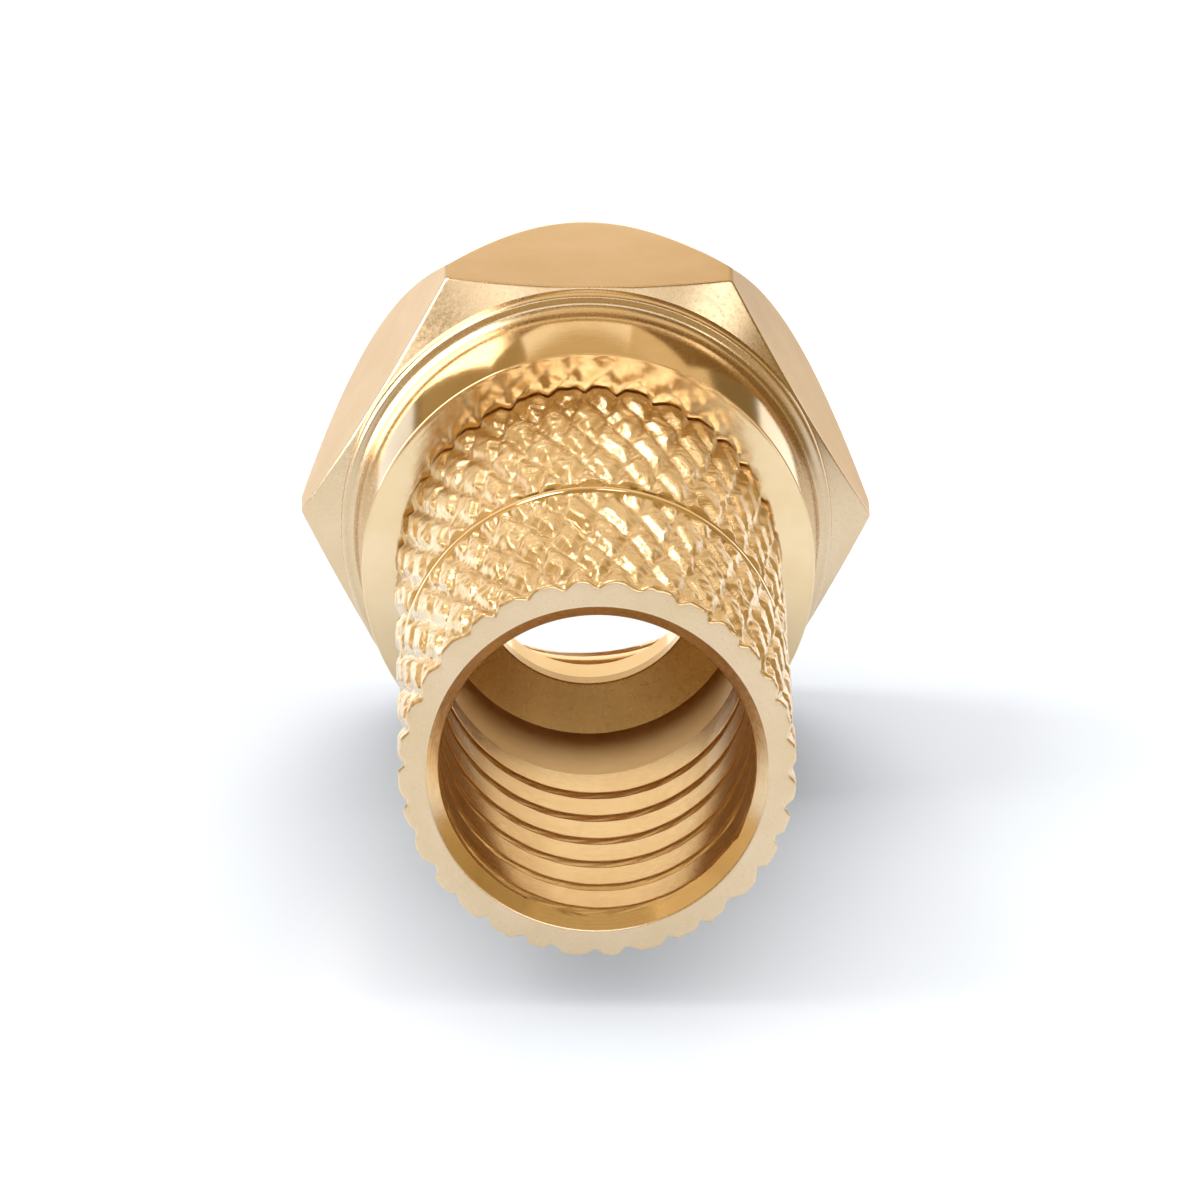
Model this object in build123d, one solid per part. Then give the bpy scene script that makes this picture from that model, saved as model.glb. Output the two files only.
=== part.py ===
from build123d import *
import math
import os

# A twist-on coaxial plug of the F type, in millimetres: a knurled barrel that screws onto the cable's
# jacket, a flanged bush pressed into the barrel's neck, and a hexagon coupling nut that turns freely on
# the neck between the barrel's shoulder and the bush's flange.
#
# The plug's axis is Y. The origin is the centre of the barrel's cable mouth, the cable enters along +Y,
# and +Z is up with the plug lying on one flat of its nut. A station is a distance along +Y from the mouth.

# ---- Driving dimensions ----

# Barrel, outside.
KNURL_CREST_R = 4.30
KNURL_DEPTH = 0.17
KNURL_TEETH = 32
KNURL_LEANS = (-0.346, 0.176)       # tangents of the ridges' angles to the axis; + leans to +X on top
KNURL_TURN = 6.5                    # degrees from +Z to the first crest at the mouth
SHOULDER = 12.95                    # station where the knurled length ends
GROOVE = (6.05, 6.65)               # stations of the smooth ring turned through the knurl
GROOVE_R = 4.22
NECK_R = 3.82
NECK_END = 14.20

# Barrel, inside.
MOUTH_R = 3.70
MOUTH_CHAMFER = 0.30
BORE_R = 3.40                       # smooth bore, and the crests of the jacket thread
BORE_END = 11.90
DRILL_POINT = 118.0                 # degrees, the included angle of the bore's conical end
CORE_R = 2.43                       # hole for the cable's inner insulation

# Jacket thread, cut into the barrel's bore.
JACKET_PITCH = 1.48
JACKET_DEPTH = 0.16
JACKET_THREAD = (-1.43, 8.43)       # stations of the groove's ends; the first is in front of the mouth
JACKET_CREST = 0.75                 # the crest's share of the pitch
JACKET_ROOT = 0.05                  # the root's share of the pitch

# Bush.
BUSH_START = 12.90
BUSH_R = 3.30
BUSH_STEP = 13.75                   # station where the core hole opens into the counterbore
COUNTERBORE_R = 2.90
FLANGE = (14.25, 15.10)             # stations; the second is the plug's reference plane
FLANGE_R = 4.25
FLANGE_CHAMFER = 0.10

# Coupling nut, outside.
NUT_REAR = 13.20
RIM_R = 5.01
RIM_WIDTH = 0.08
COLLAR_END = (5.12, 15.72)          # radius and station where the collar meets its cove
BEAD_R = 5.46
BEAD_START = 16.00
BEAD_EDGE = 0.12
HEX_START = 16.40
REAR_CHAMFER = 35.0                 # degrees from square to the axis
ACROSS_FLATS = 11.0
FRONT_R = 5.53                      # radius of the long front taper at its small end
TAPER_END = 21.18
TAPER = 13.9                        # degrees from the axis
NUT_FRONT = 21.30
FRONT_EDGE_R = 5.38

# Coupling nut, inside.
LIP_R = 3.90
LIP_REAR = 13.31                    # station of the dished rear face at the lip's hole
LIP_FRONT = 14.15
CAVITY_R = 4.60
CAVITY_END = 15.40
COUPLING_MINOR_R = 4.38             # 3/8-32 UNEF
COUPLING_MAJOR_R = 4.7625
COUPLING_PITCH = 25.4 / 32
COUPLING_END = 20.20                # station where the thread runs out into the lead-in
LEAD_IN_R = 4.95

# ---- Shapes ----


def turned(outline):
    """The solid that a closed outline of (radius, station) points sweeps about the Y axis."""
    return revolve(make_face(Polyline(*outline, close=True)), Axis.Y)


def along_y(shape, station=0.0):
    """Turn a shape built along Z so that it runs along Y from the station."""
    return Pos(0, station, 0) * Rot(-90, 0, 0) * shape


def knurled_bar(length):
    """A solid bar with a diamond knurl: the overlap of two toothed bars twisted opposite ways."""
    points = []
    for half_tooth in range(2 * KNURL_TEETH):
        radius = KNURL_CREST_R if half_tooth % 2 == 0 else KNURL_CREST_R - KNURL_DEPTH
        angle = math.radians(KNURL_TURN - 90) + math.pi * half_tooth / KNURL_TEETH
        points.append((radius * math.cos(angle), radius * math.sin(angle)))
    section = make_face(Polyline(*points, close=True)).face()
    bars = []
    for lean in KNURL_LEANS:
        twist = math.degrees(length * lean / KNURL_CREST_R)
        bars.append(Solid.extrude_linear_with_rotation(section, (0, 0, 0), (0, 0, length), twist))
    return along_y(bars[0] & bars[1])


def thread_groove(crest_r, root_r, pitch, start, end, crest_flat, root_flat):
    """The helical groove of an internal thread, as a solid to cut from the bore's wall."""
    overlap = 0.05                  # how far the cutter starts inside the bore, to cut cleanly
    helix = Edge.make_helix(pitch, end - start, crest_r)
    slope = (pitch - crest_flat - root_flat) / 2 / (root_r - crest_r)
    half_root = root_flat / 2
    half_mouth = half_root + slope * (root_r - crest_r + overlap)
    profile = Plane(origin=(crest_r, 0, 0), x_dir=(1, 0, 0), z_dir=(0, -1, 0)) * make_face(
        Polyline(
            (-overlap, -half_mouth),
            (root_r - crest_r, -half_root),
            (root_r - crest_r, half_root),
            (-overlap, half_mouth),
            close=True,
        )
    )
    return along_y(Solid.sweep(profile.face(), path=helix, is_frenet=True), start)


# ---- Pieces ----


def knurled_barrel():
    groove_start, groove_end = GROOVE
    clear_of_knurl = KNURL_CREST_R + 1
    cone_length = (BORE_R - CORE_R) / math.tan(math.radians(DRILL_POINT / 2))
    body = knurled_bar(SHOULDER)
    body -= turned([
        (GROOVE_R, groove_start), (clear_of_knurl, groove_start), (clear_of_knurl, groove_end),
        (GROOVE_R, groove_end),
    ])
    body += turned([(0, SHOULDER), (NECK_R, SHOULDER), (NECK_R, NECK_END), (0, NECK_END)])
    bore = turned([
        (0, 0), (MOUTH_R, 0), (BORE_R, MOUTH_CHAMFER), (BORE_R, BORE_END), (CORE_R, BORE_END + cone_length),
        (CORE_R, BUSH_START), (BUSH_R, BUSH_START), (BUSH_R, NECK_END), (0, NECK_END),
    ])
    start, end = JACKET_THREAD
    groove = thread_groove(
        BORE_R, BORE_R + JACKET_DEPTH, JACKET_PITCH, start, end,
        crest_flat=JACKET_CREST * JACKET_PITCH, root_flat=JACKET_ROOT * JACKET_PITCH,
    )
    return body - bore - groove


def flanged_bush():
    flange_start, flange_end = FLANGE
    edge = FLANGE_CHAMFER
    return turned([
        (CORE_R, BUSH_START), (BUSH_R, BUSH_START), (BUSH_R, flange_start), (FLANGE_R - edge, flange_start),
        (FLANGE_R, flange_start + edge), (FLANGE_R, flange_end - edge), (FLANGE_R - edge, flange_end),
        (COUNTERBORE_R, flange_end), (COUNTERBORE_R, BUSH_STEP), (CORE_R, BUSH_STEP),
    ])


def coupling_nut():
    beyond_corners = ACROSS_FLATS / math.sqrt(3) + 0.05
    chamfer_end = HEX_START + (beyond_corners - BEAD_R) * math.tan(math.radians(REAR_CHAMFER))
    taper_start = TAPER_END - (beyond_corners - FRONT_R) / math.tan(math.radians(TAPER))
    blank = turned([
        (0, NUT_REAR), (RIM_R, NUT_REAR), COLLAR_END, (BEAD_R - BEAD_EDGE, BEAD_START),
        (BEAD_R, BEAD_START + BEAD_EDGE), (BEAD_R, HEX_START), (beyond_corners, chamfer_end),
        (beyond_corners, taper_start), (FRONT_R, TAPER_END), (FRONT_EDGE_R, NUT_FRONT), (0, NUT_FRONT),
    ])
    length = NUT_FRONT - NUT_REAR
    hexagon = RegularPolygon(ACROSS_FLATS / 2, 6, major_radius=False)
    prism = along_y(extrude(hexagon, length), NUT_REAR)
    hollow = turned([
        (0, NUT_REAR), (RIM_R - RIM_WIDTH, NUT_REAR), (LIP_R, LIP_REAR), (LIP_R, LIP_FRONT),
        (CAVITY_R, LIP_FRONT), (CAVITY_R, CAVITY_END), (COUPLING_MINOR_R, CAVITY_END),
        (COUPLING_MINOR_R, COUPLING_END), (LEAD_IN_R, NUT_FRONT), (0, NUT_FRONT),
    ])
    groove = thread_groove(
        COUPLING_MINOR_R, COUPLING_MAJOR_R, COUPLING_PITCH, CAVITY_END + COUPLING_PITCH / 2,
        NUT_FRONT + COUPLING_PITCH, crest_flat=COUPLING_PITCH / 4, root_flat=COUPLING_PITCH / 8,
    )
    return (blank & prism) - hollow - groove


os.makedirs("parts", exist_ok=True)
for piece in (knurled_barrel, flanged_bush, coupling_nut):
    export_step(piece(), f"parts/{piece.__name__}.step")
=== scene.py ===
import math

import bpy
import numpy as np
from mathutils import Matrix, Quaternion, Vector


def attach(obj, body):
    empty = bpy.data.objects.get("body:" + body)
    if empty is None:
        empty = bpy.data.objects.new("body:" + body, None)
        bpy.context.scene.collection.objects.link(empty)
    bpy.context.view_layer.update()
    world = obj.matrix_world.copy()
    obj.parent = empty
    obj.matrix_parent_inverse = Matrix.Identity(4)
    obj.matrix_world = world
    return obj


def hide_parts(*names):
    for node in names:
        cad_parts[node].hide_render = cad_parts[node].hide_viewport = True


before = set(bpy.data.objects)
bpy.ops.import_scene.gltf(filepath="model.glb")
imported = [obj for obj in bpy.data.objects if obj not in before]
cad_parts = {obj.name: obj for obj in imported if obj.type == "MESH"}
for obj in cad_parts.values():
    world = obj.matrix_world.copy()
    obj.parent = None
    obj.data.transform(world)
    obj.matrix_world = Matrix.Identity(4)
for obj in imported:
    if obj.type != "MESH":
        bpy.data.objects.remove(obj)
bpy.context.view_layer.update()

# A gold-plated twist-on coaxial plug, lying on one flat of its coupling nut and seen from the cable end.
# Shapes are worked out in millimetres and scaled to metres as each mesh is made. As in the CAD, the plug's
# axis is Y, the mouth's centre is the origin, and a station is a distance along +Y from the mouth. Angles
# around the axis are measured from +Z towards +X.

MM = 0.001

# ---- Dimensions shared with the CAD ----

KNURL_CREST_R = 4.30
KNURL_DEPTH = 0.17
KNURL_TEETH = 32
KNURL_LEANS = (-0.346, 0.176)       # tangents of the ridges' angles to the axis
KNURL_TURN = math.radians(6.5)      # from +Z to the first crest at the mouth
SHOULDER = 12.95
GROOVE = (6.05, 6.65)               # stations of the smooth ring turned through the knurl
GROOVE_R = 4.22
NECK_R = 3.82
NECK_END = 14.20
MOUTH_R = 3.70
MOUTH_CHAMFER = 0.30
BORE_R = 3.40
BORE_END = 11.90
CONE_END = 12.48
CORE_R = 2.43
JACKET_PITCH = 1.48
JACKET_DEPTH = 0.16
JACKET_THREAD = (-1.43, 8.43)       # stations of the groove's ends
JACKET_CREST = 0.75                 # the crest's share of the pitch
JACKET_ROOT = 0.05                  # the root's share of the pitch

BUSH_START = 12.90
BUSH_R = 3.30
BUSH_STEP = 13.75
COUNTERBORE_R = 2.90
FLANGE = (14.25, 15.10)
FLANGE_R = 4.25

NUT_REAR = 13.20
RIM_R = 5.01
RIM_WIDTH = 0.08
COLLAR_END = (5.12, 15.72)          # radius and station
BEAD_R = 5.46
HEX_START = 16.40
REAR_CHAMFER = math.radians(35.0)   # from square to the axis
ACROSS_FLATS = 11.0
TAPER_END = 21.18
NUT_FRONT = 21.30
FRONT_EDGE_R = 5.38
LIP_R = 3.90
LIP_FRONT = 14.15
CAVITY_R = 4.60
CAVITY_END = 15.40
COUPLING_MINOR_R = 4.38
COUPLING_MAJOR_R = 4.7625
COUPLING_PITCH = 25.4 / 32
COUPLING_CREST = 0.25               # the crest's share of the pitch
COUPLING_ROOT = 0.125               # the root's share of the pitch
COUPLING_END = 20.20
LEAD_IN_R = 4.95

# ---- Dimensions that the visible model has of its own ----

KNURL_END = SHOULDER + 0.08         # the knurl runs on a little towards the nut
LIP_REAR = 13.15                    # the nut's rear face is almost flat, and the CAD's is dished
FRONT_R = 5.47                      # 0.06 less than the CAD's
TAPER = math.radians(14.9)          # 1 degree more than the CAD's

# ---- Mesh building ----

# The rings of a rounded edge, as shares of its reach before (-) and after (+) the corner.
EDGE_STEPS = (-1.6, -1, -0.5, 0, 0.5, 1, 1.6)
LONGEST_EDGE = 0.3                  # the most of its neighbouring side that an edge may take up
SHARP_ANGLE = math.radians(52)      # faces that meet at more than this are shaded as a sharp edge


class Outline:
    """The rings of a turned piece, one after another round its cross-section."""

    def __init__(self, angles):
        self.angles = angles
        self.rings = []

    def ring(self, radius, station, material, every=1):
        """Add one ring, whose material covers the surface from it to the next ring.

        Radius and station are numbers, or one value for each angle. Every is 2 for half as many points."""
        shape = self.angles.shape
        radius = np.broadcast_to(radius, shape)[::every]
        station = np.broadcast_to(station, shape)[::every]
        self.rings.append((self.angles[::every], radius, station, material))

    def corners(self, points, material, every=1):
        """Add a run of corners, each a (radius, station, edge) whose edge is how far its rounding reaches.

        The first and the last have an edge of 0, which is a sharp corner of one ring."""
        shape = self.angles.shape
        places = [
            np.stack([np.broadcast_to(radius, shape), np.broadcast_to(station, shape)])
            for radius, station, edge in points
        ]
        for index, (radius, station, edge) in enumerate(points):
            if edge == 0:
                self.ring(*places[index], material, every)
                continue
            arms = []
            for neighbour in (index - 1, index + 1):
                arm = places[neighbour] - places[index]
                length = np.maximum(np.linalg.norm(arm, axis=0), 1e-6)
                arms.append(arm / length * np.minimum(edge, LONGEST_EDGE * length))
            for reach in EDGE_STEPS:
                if abs(reach) >= 1:
                    place = places[index] + arms[reach > 0] * abs(reach)
                else:
                    along = (reach + 1) / 2
                    place = places[index] + arms[0] * (1 - along) ** 2 + arms[1] * along ** 2
                self.ring(*place, material, every)

    def repaint(self, first, count, material):
        """Give a number of rings, from the first on, another material."""
        for index in range(first, first + count):
            angles, radius, station, _ = self.rings[index]
            self.rings[index] = (angles, radius, station, material)


def stitched(here, there):
    """The faces between two closed rings of vertices with equal counts, or one with twice the other's."""
    after_here = np.roll(here, -1)
    after_there = np.roll(there, -1)
    if len(here) == len(there):
        return np.stack([here, there, after_there, after_here], axis=1).tolist()
    if len(here) > len(there):
        fine, coarse, after_coarse = here, there, after_there
    else:
        fine, coarse, after_coarse = there, here, after_here
    first, middle, last = fine[0::2], fine[1::2], np.roll(fine[0::2], -1)
    triangles = [(first, coarse, middle), (middle, coarse, after_coarse), (middle, after_coarse, last)]
    faces = np.concatenate([np.stack(triangle, axis=1) for triangle in triangles])
    if len(here) < len(there):
        faces = faces[:, ::-1]
    return faces.tolist()


def build_mesh(name, outline, materials):
    """A closed mesh from an outline's rings. A ring may have half or twice its neighbour's points."""
    starts = np.cumsum([0] + [len(angles) for angles, radius, station, material in outline.rings])
    vertices = []
    for angles, radius, station, material in outline.rings:
        vertices.append(np.stack([radius * np.sin(angles), station, radius * np.cos(angles)], axis=1))
    faces = []
    slots = []
    for index, (angles, radius, station, material) in enumerate(outline.rings):
        following = (index + 1) % len(outline.rings)
        following_angles = outline.rings[following][0]
        here = starts[index] + np.arange(len(angles))
        there = starts[following] + np.arange(len(following_angles))
        band = stitched(here, there)
        faces.extend(band)
        slots.extend([material] * len(band))
    mesh = bpy.data.meshes.new(name)
    mesh.from_pydata((np.concatenate(vertices) * MM).tolist(), [], faces)
    for material in materials:
        mesh.materials.append(material)
    mesh.polygons.foreach_set("material_index", slots)
    mesh.polygons.foreach_set("use_smooth", [True] * len(faces))
    mesh.set_sharp_from_angle(angle=SHARP_ANGLE)
    mesh.update()
    return bpy.data.objects.new(name, mesh)


# ---- Surfaces that vary round the axis ----


def smooth_step(value, low, high):
    """0 below low, 1 above high and an S curve between."""
    along = np.clip((value - low) / (high - low), 0, 1)
    return along * along * (3 - 2 * along)


def bezier(along, start, control, end):
    """A point along a quadratic curve from start to end."""
    weights = ((1 - along) ** 2, 2 * along * (1 - along), along ** 2)
    points = (start, control, end)
    return [sum(weight * point[axis] for weight, point in zip(weights, points)) for axis in (0, 1)]


def patchwork(angles, station, cells_round, cell_length, seed):
    """Smooth random heights between -1 and 1, over cells that close up round the axis."""
    longest = 30                    # mm, more than any piece's length
    rows_before = 2
    rng = np.random.default_rng(seed)
    rows = 2 * rows_before + int(longest / cell_length)
    table = rng.uniform(-1, 1, (rows, cells_round))
    across = (angles / (2 * math.pi) * cells_round) % cells_round
    along = np.broadcast_to(station, angles.shape) / cell_length + rows_before
    column = np.floor(across).astype(int)
    row = np.floor(along).astype(int)
    u = smooth_step(across - column, 0, 1)
    v = smooth_step(along - row, 0, 1)
    right = (column + 1) % cells_round
    column = column % cells_round
    near = table[row, column] * (1 - u) + table[row, right] * u
    far = table[row + 1, column] * (1 - u) + table[row + 1, right] * u
    return near * (1 - v) + far * v


def ridge_distance(angles, station, lean):
    """How far a point is from the nearest ridge of one knurl family: 0 on it, 1 midway to the next."""
    crest = KNURL_TURN + station * lean / KNURL_CREST_R
    teeth = (angles - crest) / (2 * math.pi) * KNURL_TEETH
    return 2 * np.abs(teeth - np.round(teeth))


# What makes the knurl uneven. Each is (amount, cells round, cell length in mm, seed) of a patchwork. The
# wanders' amounts are in radians, the shallows' is a share of the depth, and the others' are in mm.
FLAWS = {
    "slow wander": (0.022, 36, 1.3, 3),
    "quick wander": (0.014, 90, 0.5, 4),
    "shallows": (0.15, 50, 0.8, 9),
    "dents": (0.045, 104, 0.30, 11),
    "tears": (0.022, 150, 0.18, 5),
    "grit": (0.008, 208, 0.12, 7),
}
DENT_LEVEL = 0.00675                # a dent is only what its patchwork has above this height
MEAN_DEPTH = 0.85                   # share of the knurl's depth
DEEPEST_FLAW = 0.02                 # how far below the knurl's depth flaws may reach
FURROW_STRENGTHS = (1.0, 0.8)       # one for each family of ridges
FURROW_FLATS = (0.40, 0.50)         # how far from a ridge its furrow begins


def flaw(name, angles, station):
    amount, cells_round, cell_length, seed = FLAWS[name]
    return amount * patchwork(angles, station, cells_round, cell_length, seed)


def knurl_radius(angles, station):
    """The knurled surface: two families of rolled furrows that leave flat, uneven, torn diamonds."""
    wandered = angles + flaw("slow wander", angles, station) + flaw("quick wander", angles, station)
    furrows = []
    for lean, strength, flat in zip(KNURL_LEANS, FURROW_STRENGTHS, FURROW_FLATS):
        distance = ridge_distance(wandered, station, lean)
        furrows.append(strength * smooth_step(distance, flat, 1.0))
    depth = KNURL_DEPTH * np.maximum(*furrows) * (MEAN_DEPTH + flaw("shallows", angles, station))
    depth += np.maximum(flaw("dents", angles, station) - DENT_LEVEL, 0)
    depth += np.abs(flaw("tears", angles, station))
    depth += flaw("grit", angles, station)
    return KNURL_CREST_R - np.clip(depth, 0, KNURL_DEPTH + DEEPEST_FLAW)


def thread_radius(angles, station, crest_r, root_r, pitch, phase, crest_flat, root_flat):
    """An internal right-hand thread. Phase is the station where a root passes the +Z side.

    The flats are shares of the pitch."""
    turns = (station - phase) / pitch - angles / (2 * math.pi)
    distance = np.abs(turns - np.round(turns))
    up_flank = (distance - root_flat / 2) / (0.5 - crest_flat / 2 - root_flat / 2)
    return root_r + (crest_r - root_r) * smooth_step(up_flank, 0, 1)


def hexagon_radius(angles):
    """The nut's hexagon: flats square to the angles 0, 60, 120 ... degrees, and slightly rounded corners."""
    corner_rounding = 0.12
    half_sector = math.pi / 6
    from_flat = (angles + half_sector) % (2 * half_sector) - half_sector
    from_corner = half_sector - np.abs(from_flat)
    flats = ACROSS_FLATS / 2 / np.cos(from_flat)
    centre = (ACROSS_FLATS / 2 - corner_rounding) / math.cos(half_sector)
    inside = np.maximum(corner_rounding ** 2 - (centre * np.sin(from_corner)) ** 2, 0)
    arc = centre * np.cos(from_corner) + np.sqrt(inside)
    tangent = math.atan2(
        corner_rounding * math.sin(half_sector), centre + corner_rounding * math.cos(half_sector)
    )
    return np.where(from_corner < tangent, arc, flats)


# ---- Materials ----

# The sockets of a Mix node that mixes colours.
MIX_FACTOR = 0
MIX_FIRST = 6
MIX_SECOND = 7
MIX_RESULT = 2

LENGTHWISE_SCALE = 0.03             # of lengthwise marks along the axis, against across it
CLOUDS_PER_MM = 0.7
CLOUD_RANGE = (0.35, 0.65)          # of the noise that clouds the colour, from all pale to all deep
PITTING_RANGE = (0.3, 0.7)          # of the noise that makes the pits, from least to most roughness


def fill(tree, socket, value):
    """Give an input a value, or link it to a socket."""
    if isinstance(value, bpy.types.NodeSocket):
        tree.links.new(value, socket)
    else:
        socket.default_value = value


def add_node(tree, kind, **inputs):
    """A shader node with its inputs filled. An underscore in an input's name stands for a space."""
    node = tree.nodes.new(kind)
    for key, value in inputs.items():
        fill(tree, node.inputs[key.replace("_", " ")], value)
    return node


def math_node(tree, operation, first, second=0.0):
    node = tree.nodes.new("ShaderNodeMath")
    node.operation = operation
    fill(tree, node.inputs[0], first)
    fill(tree, node.inputs[1], second)
    return node.outputs[0]


def ramp(tree, factor, low, high, at_low, at_high):
    """Map a factor that runs from low to high onto values that run from at_low to at_high."""
    node = add_node(
        tree, "ShaderNodeMapRange", Value=factor, From_Min=low, From_Max=high, To_Min=at_low, To_Max=at_high
    )
    return node.outputs["Result"]


def noise(tree, place, scale, detail, roughness):
    node = add_node(
        tree, "ShaderNodeTexNoise", Vector=place, Scale=scale, Detail=detail, Roughness=roughness
    )
    return node.outputs["Fac"]


def mixed_colour(tree, factor, first, second):
    mix = tree.nodes.new("ShaderNodeMix")
    mix.data_type = "RGBA"
    fill(tree, mix.inputs[MIX_FACTOR], factor)
    fill(tree, mix.inputs[MIX_FIRST], (*first, 1))
    fill(tree, mix.inputs[MIX_SECOND], (*second, 1))
    return mix.outputs[MIX_RESULT]


def gold(name, pale, deep, roughness, lines, pits):
    """Gold plate that clouds between a pale and a deep colour.

    Roughness is (least, most). Lines is (direction, per mm, depth in mm) of the machining marks, which run
    round the axis or lengthwise. Pits is (per mm, depth in mm)."""
    material = bpy.data.materials.new(name)
    material.use_nodes = True
    tree = material.node_tree
    shader = tree.nodes["Principled BSDF"]
    shader.inputs["Metallic"].default_value = 1.0

    scaled = tree.nodes.new("ShaderNodeVectorMath")
    scaled.operation = "SCALE"
    fill(tree, scaled.inputs["Scale"], 1 / MM)
    fill(tree, scaled.inputs[0], add_node(tree, "ShaderNodeTexCoord").outputs["Object"])
    place_mm = scaled.outputs[0]
    split = add_node(tree, "ShaderNodeSeparateXYZ", Vector=place_mm)
    x, y, z = (split.outputs[axis] for axis in "XYZ")

    direction, lines_per_mm, line_depth = lines
    if direction == "round":
        x_squared = math_node(tree, "MULTIPLY", x, x)
        z_squared = math_node(tree, "MULTIPLY", z, z)
        radius = math_node(tree, "SQRT", math_node(tree, "ADD", x_squared, z_squared))
        across_lines = add_node(tree, "ShaderNodeCombineXYZ", X=radius, Y=y)
    else:
        drawn_out = math_node(tree, "MULTIPLY", y, LENGTHWISE_SCALE)
        across_lines = add_node(tree, "ShaderNodeCombineXYZ", X=x, Y=drawn_out, Z=z)
    pits_per_mm, pit_depth = pits
    marks = noise(tree, across_lines.outputs[0], lines_per_mm, detail=3.0, roughness=0.6)
    pitting = noise(tree, place_mm, pits_per_mm, detail=4.0, roughness=0.7)
    cloud = noise(tree, place_mm, CLOUDS_PER_MM, detail=3.0, roughness=0.6)

    clouding = ramp(tree, cloud, *CLOUD_RANGE, 0, 1)
    fill(tree, shader.inputs["Base Color"], mixed_colour(tree, clouding, pale, deep))
    fill(tree, shader.inputs["Roughness"], ramp(tree, pitting, *PITTING_RANGE, *roughness))
    line_bump = add_node(tree, "ShaderNodeBump", Height=marks, Distance=line_depth * MM)
    pit_bump = add_node(
        tree, "ShaderNodeBump", Height=pitting, Distance=pit_depth * MM, Normal=line_bump.outputs[0]
    )
    fill(tree, shader.inputs["Normal"], pit_bump.outputs[0])
    return material


PALE_GOLD = (0.83, 0.65, 0.41)
DEEP_GOLD = (0.78, 0.59, 0.34)
# The gold made darker: painted shade.
PALE_SATIN_PAINTED_SHADE = (0.70, 0.55, 0.37)
DEEP_SATIN_PAINTED_SHADE = (0.66, 0.51, 0.32)
# Darker still: painted shade for the core hole and the bore's cone.
PALE_PAINTED_SHADE = (0.52, 0.37, 0.18)
DEEP_PAINTED_SHADE = (0.46, 0.32, 0.15)

# Darker than the turned gold, painted shade, and rougher.
satin_painted_shade = gold("gold_satin_painted_shade", PALE_SATIN_PAINTED_SHADE, DEEP_SATIN_PAINTED_SHADE, (0.20, 0.30), ("round", 14, 0.0006), (9, 0.0006))
turned = gold("gold_turned", PALE_GOLD, DEEP_GOLD, (0.06, 0.12), ("round", 14, 0.0006), (9, 0.0005))
# Darker than the turned gold too: painted shade on the hexagon's flats.
drawn_painted_shade = gold("gold_drawn_painted_shade", PALE_SATIN_PAINTED_SHADE, DEEP_SATIN_PAINTED_SHADE, (0.42, 0.50), ("lengthwise", 16, 0.0008), (7, 0.0008))
knurled = gold("gold_knurled", PALE_GOLD, DEEP_GOLD, (0.10, 0.24), ("round", 10, 0.0010), (8, 0.016))
threaded = gold("gold_threaded", PALE_GOLD, DEEP_GOLD, (0.15, 0.26), ("round", 12, 0.0010), (7, 0.0015))
bored = gold("gold_bored", PALE_GOLD, DEEP_GOLD, (0.32, 0.42), ("round", 16, 0.0008), (6, 0.0010))
# The darkest gold: painted shade deep in the bore.
drilled_painted_shade = gold("gold_drilled_painted_shade", PALE_PAINTED_SHADE, DEEP_PAINTED_SHADE, (0.20, 0.30), ("round", 16, 0.0008), (6, 0.0010))

# ---- Pieces ----

# In the outlines below, a small amount added to a dimension places an extra ring beside the corner that the
# dimension belongs to. A corner's third number is the reach of its rounding.

BARREL_COLUMNS = 416
BUSH_COLUMNS = 192
BARREL_MATERIALS = (turned, knurled, threaded, bored, satin_painted_shade, drilled_painted_shade)
BUSH_MATERIALS = (turned,)
NUT_MATERIALS = (turned, drawn_painted_shade, threaded, satin_painted_shade)

# How many rings each surface has along its length.
KNURL_ROWS = (74, 76)
JACKET_ROWS = 150
MOUTH_CHAMFER_ROWS = 7
COVE_ROWS = 8
BEAD_ROWS = 6
COUPLING_ROWS = 104
FLAT_RINGS = 3                      # the rings whose surface is the hexagon's flats

KNURL_START = 0.05
KNURL_FADE = 0.12                   # length over which the knurl runs out at the smooth ring
KNURL_WEAR = 0.03                   # depth worn off the teeth where the knurl ends
WORN_LENGTH = 0.10                  # length over which it is worn
BEYOND_THREAD = 0.75                # how far the jacket thread's rings reach past its groove's end
RUN_OUT_END = 0.4                   # how far past its end the groove has faded to nothing
RUN_OUT_LENGTH = 0.5                # length over which it fades

# The edge between the mouth's flat end and the knurl, as (distance in from the knurl, station, material).
# The mouth's flat end has the darker gold: painted shade.
MOUTH_EDGE = ((0.22, 0, satin_painted_shade), (0.07, 0, satin_painted_shade), (0.025, 0.004, knurled), (0.008, 0.018, knurled))
# The smooth ring's edge, as (depth below its radius, distance in from its end). It bulges in the middle.
GROOVE_EDGE = ((0.05, 0.04), (0.05, 0.07), (0, 0.14), (-0.015, 0.25))


def even_angles(columns):
    return np.arange(columns) * 2 * math.pi / columns


def knurled_rings(outline, stations, ring_end, worn_at=None):
    """Knurled rings that fade to the smooth ring's radius at ring_end, and are worn down at worn_at."""
    for station in stations:
        fade = smooth_step(abs(station - ring_end), 0, KNURL_FADE)
        radius = knurl_radius(outline.angles, station)
        if worn_at is not None:
            radius = radius - KNURL_WEAR * (1 - smooth_step(worn_at - station, 0, WORN_LENGTH))
        outline.ring(GROOVE_R + (radius - GROOVE_R) * fade, station, BARREL_MATERIALS.index(knurled))


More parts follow.
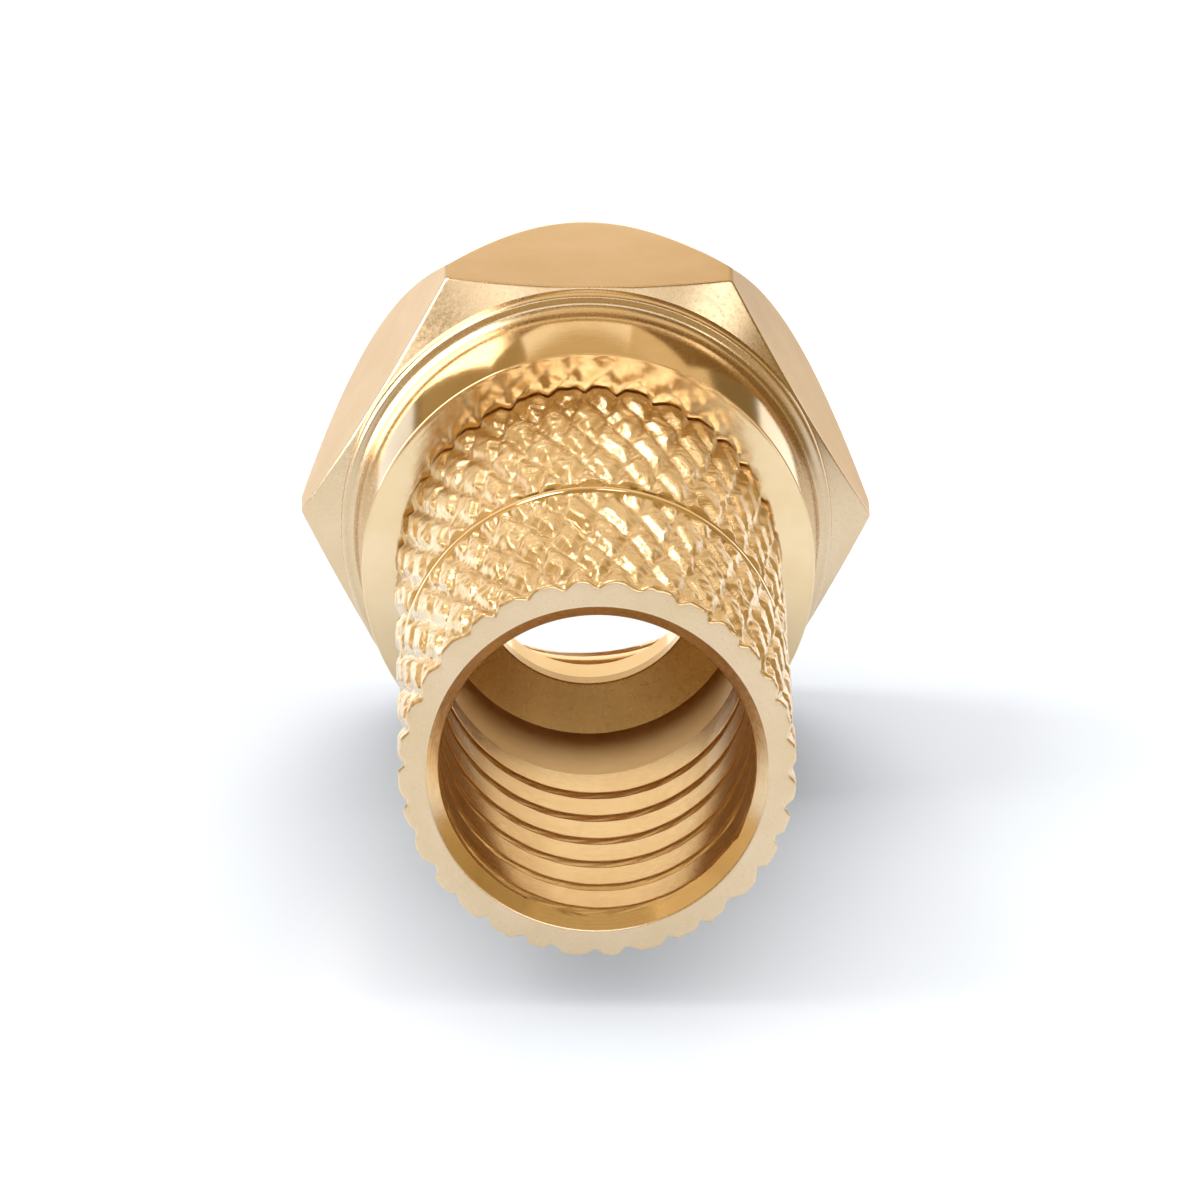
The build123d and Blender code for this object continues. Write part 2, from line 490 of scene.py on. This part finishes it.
def barrel_outline():
    angles = even_angles(BARREL_COLUMNS)
    outline = Outline(angles)
    slot = {material: index for index, material in enumerate(BARREL_MATERIALS)}

    # From the flat end of the mouth, along the knurl and its smooth ring, to the neck.
    at_mouth = knurl_radius(angles, KNURL_START)
    for inset, station, material in MOUTH_EDGE:
        outline.ring(at_mouth - inset, station, slot[material])
    groove_start, groove_end = GROOVE
    knurled_rings(outline, np.linspace(KNURL_START, groove_start, KNURL_ROWS[0]), groove_start)
    for depth, inset in GROOVE_EDGE:
        outline.ring(GROOVE_R - depth, groove_start + inset, slot[turned])
    for depth, inset in reversed(GROOVE_EDGE):
        outline.ring(GROOVE_R - depth, groove_end - inset, slot[turned])
    knurled_rings(outline, np.linspace(groove_end, KNURL_END, KNURL_ROWS[1]), groove_end, KNURL_END)
    outline.corners([
        (NECK_R + 0.1, KNURL_END, 0), (NECK_R, KNURL_END, 0.03), (NECK_R, NECK_END, 0.03),
        (BUSH_R + 0.2, NECK_END, 0),
    ], slot[turned])

    # Back through the bush's seat, the core hole, the bore's conical end and its smooth and threaded walls.
    outline.corners([(BUSH_R, NECK_END, 0), (BUSH_R, BUSH_START, 0)], slot[bored], every=2)
    # The core hole and the cone take the darkest gold: painted shade.
    outline.corners([
        (CORE_R, BUSH_START, 0), (CORE_R, CONE_END, 0.03), (BORE_R - 0.05, BORE_END + 0.03, 0),
    ], slot[drilled_painted_shade], every=2)
    outline.corners([(BORE_R, BORE_END, 0), (BORE_R, BORE_END - 0.8, 0)], slot[bored], every=2)
    start, end = JACKET_THREAD
    for station in np.linspace(end + BEYOND_THREAD, MOUTH_CHAMFER, JACKET_ROWS):
        cut = thread_radius(
            angles, station, BORE_R, BORE_R + JACKET_DEPTH, JACKET_PITCH, start - JACKET_PITCH / 4,
            JACKET_CREST, JACKET_ROOT,
        )
        run_out = smooth_step(end + RUN_OUT_END - station, 0, RUN_OUT_LENGTH)
        outline.ring(BORE_R + (cut - BORE_R) * run_out, station, slot[threaded], every=2)
    for station in np.linspace(MOUTH_CHAMFER - 0.04, 0.03, MOUTH_CHAMFER_ROWS):
        radius = MOUTH_R - (MOUTH_R - BORE_R) * station / MOUTH_CHAMFER
        outline.ring(radius, station, slot[threaded], every=2)
    # The flat end's inner edge has the darker gold: painted shade.
    outline.corners([
        (MOUTH_R - 0.02, 0.02, 0), (MOUTH_R, 0, 0), (MOUTH_R + 0.04, 0, 0),
    ], slot[satin_painted_shade], every=2)
    return outline


def bush_outline():
    outline = Outline(even_angles(BUSH_COLUMNS))
    flange_start, flange_end = FLANGE
    outline.corners([
        (CORE_R, BUSH_START, 0), (BUSH_R, BUSH_START, 0), (BUSH_R, flange_start, 0),
        (FLANGE_R, flange_start, 0.08), (FLANGE_R, flange_end, 0.08), (COUNTERBORE_R, flange_end, 0.05),
        (COUNTERBORE_R, BUSH_STEP, 0.03), (CORE_R, BUSH_STEP, 0.03), (CORE_R, BUSH_START + 0.1, 0),
    ], BUSH_MATERIALS.index(turned))
    return outline


def nut_angles():
    """Angles round the nut, closer together near the corners of its hexagon."""
    near_corner = np.radians([29.85, 29.7, 29.5, 29.2, 28.7])
    across = np.radians(np.linspace(-28.0, 28.0, 81))
    flat = np.concatenate([-near_corner, across, near_corner[::-1]])
    sector = np.concatenate([[-math.pi / 6], flat])
    return np.concatenate([sector + flat_number * math.pi / 3 for flat_number in range(6)])


# The cove behind the bead and the bead itself, each a quadratic curve's three (radius, station) points.
COVE = ((5.115, 15.60), (5.13, 15.97), (5.34, 16.00))
BEAD = ((5.34, 16.00), (5.46, 16.01), (5.46, 16.20))


def nut_outline():
    angles = nut_angles()
    outline = Outline(angles)
    slot = {material: index for index, material in enumerate(NUT_MATERIALS)}

    # From the rear face, along the collar, cove and bead, to the hexagon and the long front taper.
    collar_r, collar_end = COLLAR_END
    outline.corners([
        (LIP_R, LIP_REAR, 0), (RIM_R - RIM_WIDTH, NUT_REAR, 0.02), (RIM_R, NUT_REAR, 0.03),
        (collar_r, collar_end - 0.12, 0),
    ], slot[turned])
    # From the cove to the nut's front, the outside has the darker gold: painted shade.
    for along in np.linspace(0.1, 1, COVE_ROWS):
        outline.ring(*bezier(along, *COVE), slot[satin_painted_shade])
    for along in np.linspace(0.15, 1, BEAD_ROWS):
        outline.ring(*bezier(along, *BEAD), slot[satin_painted_shade])
    outline.ring(BEAD_R, HEX_START - 0.1, slot[satin_painted_shade])
    hexagon = hexagon_radius(angles)
    chamfer_end = HEX_START + (hexagon - BEAD_R) * math.tan(REAR_CHAMFER)
    taper_start = np.minimum(TAPER_END - (hexagon - FRONT_R) / math.tan(TAPER), TAPER_END - 0.01)
    front = np.minimum(hexagon, FRONT_R)
    flat_middle = (chamfer_end + taper_start) / 2
    flats_begin = len(outline.rings) + len(EDGE_STEPS)      # the last ring of the chamfer's rounded edge
    outline.corners([
        (BEAD_R, HEX_START, 0), (hexagon, chamfer_end, 0.045), (hexagon, flat_middle - 0.2, 0),
        (hexagon, flat_middle + 0.2, 0), (hexagon, taper_start, 0.045), (front, TAPER_END, 0.03),
        (FRONT_EDGE_R, NUT_FRONT, 0),
    ], slot[satin_painted_shade])
    # The flats have darker gold too: painted shade.
    outline.repaint(flats_begin, FLAT_RINGS, slot[drawn_painted_shade])

    # Back through the coupling thread, the cavity and the lip.
    outline.ring(FRONT_EDGE_R - 0.05, NUT_FRONT, slot[turned])
    lead_in_slope = (LEAD_IN_R - COUPLING_MINOR_R) / (NUT_FRONT - COUPLING_END)
    for station in np.linspace(NUT_FRONT, CAVITY_END, COUPLING_ROWS):
        cut = thread_radius(
            angles, station, COUPLING_MINOR_R, COUPLING_MAJOR_R, COUPLING_PITCH,
            CAVITY_END + COUPLING_PITCH / 2, COUPLING_CREST, COUPLING_ROOT,
        )
        lead_in = COUPLING_MINOR_R + (station - COUPLING_END) * lead_in_slope
        outline.ring(np.maximum(cut, lead_in), station, slot[threaded], every=2)
    outline.corners([
        (CAVITY_R, CAVITY_END, 0), (CAVITY_R, LIP_FRONT, 0), (LIP_R, LIP_FRONT, 0),
    ], slot[turned], every=2)
    return outline


# Each is (CAD node, body, outline, materials).
PIECES = (
    ("knurled_barrel", "plug_body", barrel_outline(), BARREL_MATERIALS),
    ("flanged_bush", "plug_body", bush_outline(), BUSH_MATERIALS),
    ("coupling_nut", "nut", nut_outline(), NUT_MATERIALS),
)
lit = {}                            # for each body, the collection of what its own lights reach
for body in ("plug_body", "nut"):
    lit[body] = bpy.data.collections.new("lit_" + body)
    bpy.context.scene.collection.children.link(lit[body])
for node, body, outline, materials in PIECES:
    piece = build_mesh("gold_" + node, outline, materials)
    lit[body].objects.link(piece)
    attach(piece, body)
    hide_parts(node)

# ---- Floor ----

FLOOR_REACH = 3.0                   # metres from the middle to each side

floor_material = bpy.data.materials.new("white_floor")
floor_material.use_nodes = True
floor_shader = floor_material.node_tree.nodes["Principled BSDF"]
floor_shader.inputs["Base Color"].default_value = (0.84, 0.86, 0.89, 1)
floor_shader.inputs["Roughness"].default_value = 0.25
floor_shader.inputs["Specular IOR Level"].default_value = 0.06
floor_height = -ACROSS_FLATS / 2 * MM
floor_corners = [
    (x * FLOOR_REACH, y * FLOOR_REACH, floor_height) for x, y in ((-1, -1), (1, -1), (1, 1), (-1, 1))
]
floor_mesh = bpy.data.meshes.new("floor")
floor_mesh.from_pydata(floor_corners, [], [(0, 1, 2, 3)])
floor_mesh.materials.append(floor_material)
floor = bpy.data.objects.new("floor", floor_mesh)
bpy.context.scene.collection.objects.link(floor)

# ---- Lights ----

SOFTBOX_DISTANCE = 0.5              # metres
CARD_STATION = 32.0                 # mm from the mouth, beyond the nut's front
FLOOR_LAMP_DISTANCE = 1.2           # metres
FLOOR_LAMP_SIZE = 0.8               # metres
FLOOR_LAMP_ELEVATION = 42           # degrees
WATTS_PER_AREA = 4                  # per square metre, for a radiance of 1


def direction_to(azimuth, elevation):
    """A unit vector. Azimuth is in degrees from +Y towards +X, and elevation is above the floor."""
    azimuth = math.radians(azimuth)
    elevation = math.radians(elevation)
    return Vector((
        math.sin(azimuth) * math.cos(elevation), math.cos(azimuth) * math.cos(elevation), math.sin(elevation)
    ))


def lamp(name, location, facing, width, height, radiance):
    """A rectangular light, as bright as a surface of that red, green and blue radiance.

    Facing points away from its lit side."""
    light = bpy.data.lights.new(name, "AREA")
    light.shape = "RECTANGLE"
    light.size = width
    light.size_y = height
    light.energy = WATTS_PER_AREA * width * height
    light.color = radiance
    fixture = bpy.data.objects.new(name, light)
    fixture.location = location
    fixture.rotation_euler = facing.to_track_quat("Z", "Y").to_euler()
    fixture.visible_camera = False
    bpy.context.scene.collection.objects.link(fixture)
    return fixture


def card(name, body, left, right, bottom, top, radiance):
    """An upright bright card for one body alone, standing square to its axis just beyond the nut."""
    place = Vector(((left + right) / 2, CARD_STATION, (bottom + top) / 2)) * MM
    board = lamp(name, place, Vector((0, 1, 0)), (right - left) * MM, (top - bottom) * MM, radiance)
    board.light_linking.receiver_collection = lit[body]


def softbox(name, body, azimuth, elevation, wide, high, radiance):
    """A distant light for one body alone. Wide and high are the angles that it spans."""
    away = direction_to(azimuth, elevation)
    width = 2 * SOFTBOX_DISTANCE * math.tan(math.radians(wide / 2))
    height = 2 * SOFTBOX_DISTANCE * math.tan(math.radians(high / 2))
    box = lamp(name, away * SOFTBOX_DISTANCE, away, width, height, radiance)
    box.light_linking.receiver_collection = lit[body]


# Each is (name, body, left, right, bottom, top, radiance), with its edges in millimetres.
CARDS = (
    ("nut_left_high", "nut", -14, -5.0, 4, 12, (0.15, 0.10, 0.04)),
    ("nut_left_low", "nut", -14, -5.0, -5.5, 4, (0.05, 0.03, 0.01)),
    ("nut_left_far", "nut", -40, -14, -5.5, 25, (0.05, 0.03, 0.01)),
    ("nut_centre_low", "nut", -5.0, 3.5, -5.5, 8.6, (0.90, 0.85, 0.79)),
    ("nut_centre_high", "nut", -5.0, 3.5, 8.6, 12, (0.70, 0.60, 0.45)),
    ("nut_right_low", "nut", 3.5, 14, -5.5, 3, (0.30, 0.21, 0.10)),
    ("nut_right_high", "nut", 3.5, 14, 8, 12, (0.45, 0.34, 0.20)),
    ("nut_right_far", "nut", 14, 40, -5.5, 25, (0.40, 0.30, 0.16)),
    ("nut_top", "nut", -14, 14, 12, 25, (0.35, 0.25, 0.13)),
    ("barrel_left", "plug_body", -14, -5.0, -5.5, 12, (0.70, 0.60, 0.45)),
    ("barrel_left_far", "plug_body", -40, -14, -5.5, 25, (0.42, 0.31, 0.17)),
    ("barrel_centre", "plug_body", -5.0, 5, -5.5, 12, (0.70, 0.60, 0.45)),
    ("barrel_right", "plug_body", 5, 14, -5.5, 12, (0.60, 0.49, 0.34)),
    ("barrel_right_far", "plug_body", 14, 40, -5.5, 25, (0.20, 0.14, 0.06)),
    ("barrel_top", "plug_body", -14, 14, 12, 25, (0.52, 0.41, 0.26)),
)
# Each is (name, body, azimuth, elevation, wide, high, radiance), with its angles in degrees.
SOFTBOXES = (
    ("nut_rear_top", "nut", 0, 60, 80, 36, (0.60, 0.49, 0.34)),
    ("nut_left", "nut", -85, 32, 60, 56, (4.00, 4.00, 4.00)),
    ("nut_right", "nut", 85, 32, 60, 56, (0.05, 0.03, 0.01)),
    ("nut_front_left", "nut", -146, 43, 16, 12, (0.95, 0.93, 0.89)),
    ("nut_front_left_low", "nut", -140, 16, 36, 24, (0.40, 0.30, 0.16)),
    ("nut_front_low", "nut", 180, 16, 36, 24, (0.30, 0.21, 0.10)),
    ("nut_front_top", "nut", 180, 50, 46, 20, (1.00, 1.00, 1.00)),
    ("nut_front_right", "nut", 136, 37, 13, 13, (2.70, 2.70, 2.70)),
    ("nut_front_right_low", "nut", 140, 14, 36, 26, (0.30, 0.21, 0.10)),
    ("nut_above", "nut", 0, 88, 30, 30, (0.40, 0.30, 0.16)),
    ("barrel_rear_top", "plug_body", 0, 60, 80, 36, (0.22, 0.15, 0.06)),
    ("barrel_left_low", "plug_body", -85, 14, 60, 28, (0.38, 0.28, 0.15)),
    ("barrel_left_high", "plug_body", -85, 46, 60, 34, (0.45, 0.34, 0.20)),
    ("barrel_right_low", "plug_body", 85, 14, 60, 28, (0.20, 0.14, 0.06)),
    ("barrel_right_high", "plug_body", 85, 46, 60, 34, (0.15, 0.10, 0.04)),
    ("barrel_front_left", "plug_body", -145, 22, 36, 40, (0.30, 0.21, 0.10)),
    ("barrel_front", "plug_body", 172, 20, 34, 26, (1.80, 1.80, 1.80)),
    ("barrel_front_right", "plug_body", 138, 22, 30, 40, (0.45, 0.34, 0.20)),
    ("barrel_front_top", "plug_body", 180, 54, 60, 34, (0.40, 0.30, 0.16)),
    ("barrel_key", "plug_body", -22, 42, 12, 12, (8.00, 8.00, 8.00)),
    ("barrel_key_right", "plug_body", 8, 44, 8, 8, (3.00, 3.00, 3.00)),
    ("barrel_above", "plug_body", 0, 88, 30, 30, (0.40, 0.30, 0.16)),
)
for settings in CARDS:
    card(*settings)
for settings in SOFTBOXES:
    softbox(*settings)

# These light the floor alone. Each is (name, azimuth in degrees, radiance, whether the barrel shades it).
FLOOR_LAMPS = (
    ("floor_left", -90, 1.66, True),
    ("floor_left_open", -90, 1.57, False),
    ("floor_right", 90, 0.77, True),
    ("floor_front", 180, 0.23, True),
    ("floor_back", 0, 0.82, True),
    ("floor_back_open", 0, 2.72, False),
)
all_but_barrel = bpy.data.collections.new("all_but_barrel")
bpy.context.scene.collection.children.link(all_but_barrel)
for node in ("flanged_bush", "coupling_nut"):
    all_but_barrel.objects.link(bpy.data.objects["gold_" + node])
for name, azimuth, radiance, barrel_shades in FLOOR_LAMPS:
    away = direction_to(azimuth, FLOOR_LAMP_ELEVATION)
    place = away * FLOOR_LAMP_DISTANCE
    fixture = lamp(name, place, away, FLOOR_LAMP_SIZE, FLOOR_LAMP_SIZE, (radiance, radiance, radiance))
    fixture.visible_glossy = False
    if not barrel_shades:
        fixture.light_linking.blocker_collection = all_but_barrel

# The world is neutral to diffuse surfaces and warm in mirror-like reflections.
DIFFUSE_WORLD = (0.97, 0.98, 1.0)
REFLECTED_WORLD = (0.357, 0.236, 0.093)
WORLD_STRENGTH = 0.70

world = bpy.data.worlds.new("studio")
world.use_nodes = True
background = world.node_tree.nodes["Background"]
seen_in_reflection = add_node(world.node_tree, "ShaderNodeLightPath").outputs["Is Glossy Ray"]
world_colour = mixed_colour(world.node_tree, seen_in_reflection, DIFFUSE_WORLD, REFLECTED_WORLD)
fill(world.node_tree, background.inputs["Color"], world_colour)
background.inputs["Strength"].default_value = WORLD_STRENGTH
bpy.context.scene.world = world
bpy.context.scene.view_settings.view_transform = "Standard"
bpy.context.scene.cycles.glossy_bounces = 10
bpy.context.scene.cycles.caustics_reflective = False

# ---- Camera ----

LENS = 616.65
SENSOR_WIDTH = 36
LOOK = (1.146, -19.106)             # the azimuth and elevation of the view, in degrees
TARGET = (0.162, 8.0, 1.075)        # mm
DISTANCE = 449.15                   # mm from the target
ROLL = math.radians(0.808)

camera_data = bpy.data.cameras.new("camera")
camera_data.lens = LENS
camera_data.sensor_width = SENSOR_WIDTH
camera_data.clip_start = 0.01
camera = bpy.data.objects.new("camera", camera_data)
bpy.context.scene.collection.objects.link(camera)
look = direction_to(*LOOK)
camera.location = (Vector(TARGET) - look * DISTANCE) * MM
camera.rotation_mode = "QUATERNION"
camera.rotation_quaternion = look.to_track_quat("-Z", "Y") @ Quaternion((0, 0, 1), ROLL)
bpy.context.scene.camera = camera
